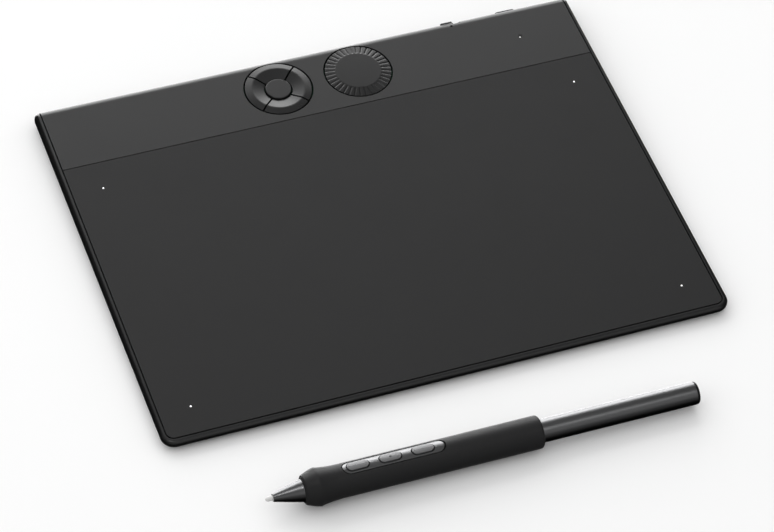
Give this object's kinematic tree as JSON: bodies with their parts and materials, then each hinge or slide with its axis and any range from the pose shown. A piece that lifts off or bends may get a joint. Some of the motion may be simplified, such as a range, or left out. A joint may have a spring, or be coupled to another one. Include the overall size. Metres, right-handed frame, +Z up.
{
  "type": "pen tablet with pen",
  "caption": "Slim wedge pen tablet with a matte drawing surface, a rear control strip with a key ring and a turning dial, and a cordless pen lying in front.",
  "frame": {"origin": "centre of the footprint of tablet and pen together, at desk height", "axes": "+X to the right along the tablet's long side, +Y to the rear where the control strip is, +Z up"},
  "size_m": [0.215, 0.2037, 0.0136],
  "materials": {
    "body_plastic": "fine moulded texture, near black",
    "strip_plastic": "satin dark grey",
    "surface_sheet": "paper-like matte texture, dark grey",
    "key_plastic": "satin dark grey",
    "dial_plastic": "satin dark grey with a spun look",
    "button_plastic": "satin mid grey",
    "nib_plastic": "smooth white",
    "grip_rubber": "matte near black",
    "foot_rubber": "matte dark grey",
    "barrel_metal": "satin anodised dark grey",
    "light_guide": "clear white light pipe",
    "inner_plastic": "plain moulding, out of sight",
    "circuit_board": "green solder mask",
    "steel": "stamped or turned steel",
    "dark_steel": "blackened stamped steel",
    "cell_foil": "foil pouch",
    "ribbon_film": "amber film",
    "ferrite": "sintered grey",
    "copper_wire": "enamelled copper wire",
    "brass": "turned brass"
  },
  "bodies": {
    "tablet": {"body_tray": "body_plastic", "drawing_surface": "surface_sheet", "control_strip": "strip_plastic", "foot_1": "foot_rubber", "foot_2": "foot_rubber", "foot_3": "foot_rubber", "foot_4": "foot_rubber", "cover_screw_1": "steel", "cover_screw_2": "steel", "cover_screw_3": "steel", "cover_screw_4": "steel", "sensor_board": "circuit_board", "shield_plate": "steel", "sensor_ribbon": "ribbon_film", "main_board": "circuit_board", "key_board": "circuit_board", "radio_can": "steel", "battery": "cell_foil", "usb_c_port": "dark_steel", "power_switch_body": "inner_plastic", "key_switch_1": "steel", "key_switch_2": "steel", "key_switch_3": "steel", "key_switch_4": "steel", "key_switch_5": "steel", "dial_encoder": "inner_plastic", "marker_light_1": "light_guide", "marker_light_2": "light_guide", "marker_light_3": "light_guide", "marker_light_4": "light_guide", "status_light": "light_guide"},
    "pen": {"pen_core": "inner_plastic", "grip": "grip_rubber", "nose_cone": "barrel_metal", "rear_barrel": "barrel_metal", "end_cap": "inner_plastic", "button_plate": "barrel_metal", "pen_board": "circuit_board", "side_switch_1": "steel", "side_switch_2": "steel", "side_switch_3": "steel", "pressure_sensor": "inner_plastic", "ferrite_core": "ferrite", "antenna_coil": "copper_wire", "balance_weight": "brass"},
    "nib": {"nib": "nib_plastic"},
    "ring_key_rear": {"ring_key_rear": "key_plastic"},
    "ring_key_left": {"ring_key_left": "key_plastic"},
    "ring_key_front": {"ring_key_front": "key_plastic"},
    "ring_key_right": {"ring_key_right": "key_plastic"},
    "center_key": {"center_key": "key_plastic"},
    "dial": {"dial_cap": "dial_plastic", "dial_spindle": "steel"},
    "power_knob": {"power_knob": "inner_plastic"},
    "side_button_1": {"side_button_1": "button_plastic"},
    "side_button_2": {"side_button_2": "button_plastic"},
    "side_button_3": {"side_button_3": "button_plastic"}
  },
  "joints": [
    {"name": "pen_lift", "type": "slide", "parent": "tablet", "child": "pen", "axis": [0, 0, 1], "range_m": [0, 0.06]},
    {"name": "ring_key_rear_press", "type": "slide", "parent": "tablet", "child": "ring_key_rear", "axis": [0, 0.0184, -0.9998], "range_m": [0, 0.0004], "stiffness_N_per_m": 3000},
    {"name": "ring_key_left_press", "type": "slide", "parent": "tablet", "child": "ring_key_left", "axis": [0, 0.0184, -0.9998], "range_m": [0, 0.0004], "stiffness_N_per_m": 3000},
    {"name": "ring_key_front_press", "type": "slide", "parent": "tablet", "child": "ring_key_front", "axis": [0, 0.0184, -0.9998], "range_m": [0, 0.0004], "stiffness_N_per_m": 3000},
    {"name": "ring_key_right_press", "type": "slide", "parent": "tablet", "child": "ring_key_right", "axis": [0, 0.0184, -0.9998], "range_m": [0, 0.0004], "stiffness_N_per_m": 3000},
    {"name": "center_key_press", "type": "slide", "parent": "tablet", "child": "center_key", "axis": [0, 0.0184, -0.9998], "range_m": [0, 0.0004], "stiffness_N_per_m": 3000},
    {"name": "dial_turn", "type": "hinge", "parent": "tablet", "child": "dial", "pos_m": [0.016, 0.08624, 0.00732], "axis": [0, -0.0184, 0.9998], "continuous": true},
    {"name": "power_slide", "type": "slide", "parent": "tablet", "child": "power_knob", "axis": [1, 0, 0], "range_m": [0, 0.0027]},
    {"name": "nib_press", "type": "slide", "parent": "pen", "child": "nib", "axis": [0.9999, 0, -0.0101], "range_m": [0, 0.0004], "stiffness_N_per_m": 1500},
    {"name": "side_button_1_press", "type": "slide", "parent": "pen", "child": "side_button_1", "axis": [-0.01, -0.1219, -0.9925], "range_m": [0, 0.00035], "stiffness_N_per_m": 3000},
    {"name": "side_button_2_press", "type": "slide", "parent": "pen", "child": "side_button_2", "axis": [-0.01, -0.1219, -0.9925], "range_m": [0, 0.00035], "stiffness_N_per_m": 3000},
    {"name": "side_button_3_press", "type": "slide", "parent": "pen", "child": "side_button_3", "axis": [-0.01, -0.1219, -0.9925], "range_m": [0, 0.00035], "stiffness_N_per_m": 3000}
  ]
}
